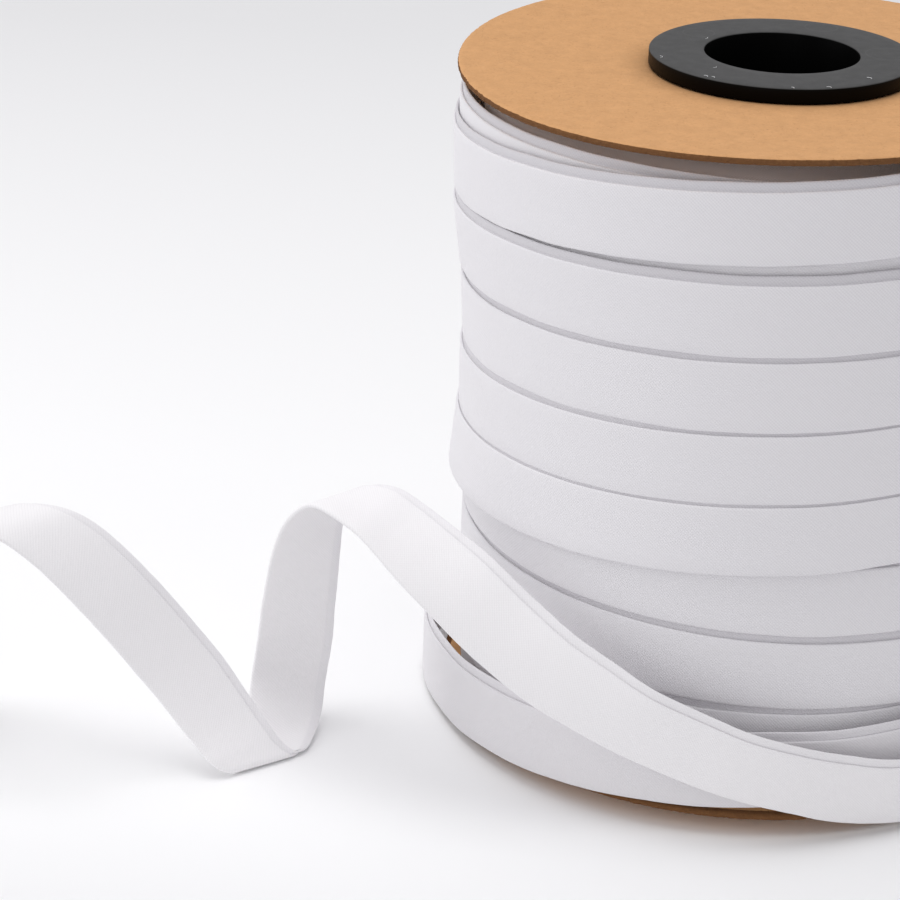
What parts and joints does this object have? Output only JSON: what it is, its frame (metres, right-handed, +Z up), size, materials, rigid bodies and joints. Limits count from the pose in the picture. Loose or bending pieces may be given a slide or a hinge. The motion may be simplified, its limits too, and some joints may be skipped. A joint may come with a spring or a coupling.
{
  "type": "reel of bias tape",
  "caption": "White folded bias tape wound in bands between two card flanges on a black plastic hub, with its loose end curling off to one side.",
  "frame": {"origin": "bottom centre of the bounding box, on the surface that the reel stands on", "axes": "+Z up along the reel's axis; the loose tape runs off towards -X; the picture looks along +Y"},
  "size_m": [0.2396, 0.141, 0.1377],
  "materials": {
    "tape": "matt white woven cotton, bias cut",
    "card": "plain brown card, fine fibres",
    "hub": "black moulded plastic, half gloss"
  },
  "bodies": {
    "root": {"tape_winding": "tape", "tape_tail": "tape", "flange_top": "card", "flange_bottom": "card", "hub_top": "hub", "hub_bottom": "hub"}
  },
  "joints": []
}
